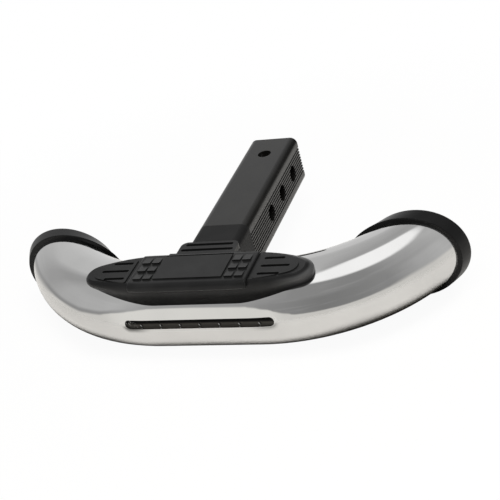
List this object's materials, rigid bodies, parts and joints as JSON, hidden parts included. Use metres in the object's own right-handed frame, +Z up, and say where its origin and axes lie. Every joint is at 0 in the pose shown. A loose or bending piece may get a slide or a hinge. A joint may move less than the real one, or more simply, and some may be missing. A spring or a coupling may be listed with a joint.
{
  "type": "hitch receiver step",
  "caption": "Bent polished tube step with a moulded tread pad, a light bar behind a slot in its front, capped ends and a hollow square shank that slides into a hitch receiver.",
  "frame": {"origin": "centre of the hitch pin hole, on the shank's centre line", "axes": "+X along the straight middle of the tube and along the hitch pin, +Y along the shank towards the vehicle, +Z up"},
  "size_m": [0.4524, 0.2763, 0.0927],
  "materials": {
    "polished_steel": "polished stainless steel",
    "black_shank": "black coated, satin",
    "black_sleeve": "satin black",
    "black_pad": "satin black, moulded",
    "black_cap": "satin black, moulded",
    "plain_steel": "zinc plated",
    "black_housing": "matt black",
    "black_rubber": "soft black",
    "dark_bezel": "dark grey",
    "dark_board": "dark green",
    "clear_lamp": "clear domed lamps"
  },
  "bodies": {
    "root": {"step_tube": "polished_steel", "shank": "black_shank", "neck_sleeve": "black_sleeve", "tread_pad": "black_pad", "end_cap_left": "black_cap", "end_cap_right": "black_cap", "nut_plate": "plain_steel", "shank_bolts": "plain_steel", "light_housing": "black_housing", "light_gasket": "black_rubber", "light_bezel": "dark_bezel", "light_board": "dark_board", "light_leds": "clear_lamp", "wire_grommet": "black_rubber", "tail_plug": "black_cap"}
  },
  "joints": []
}
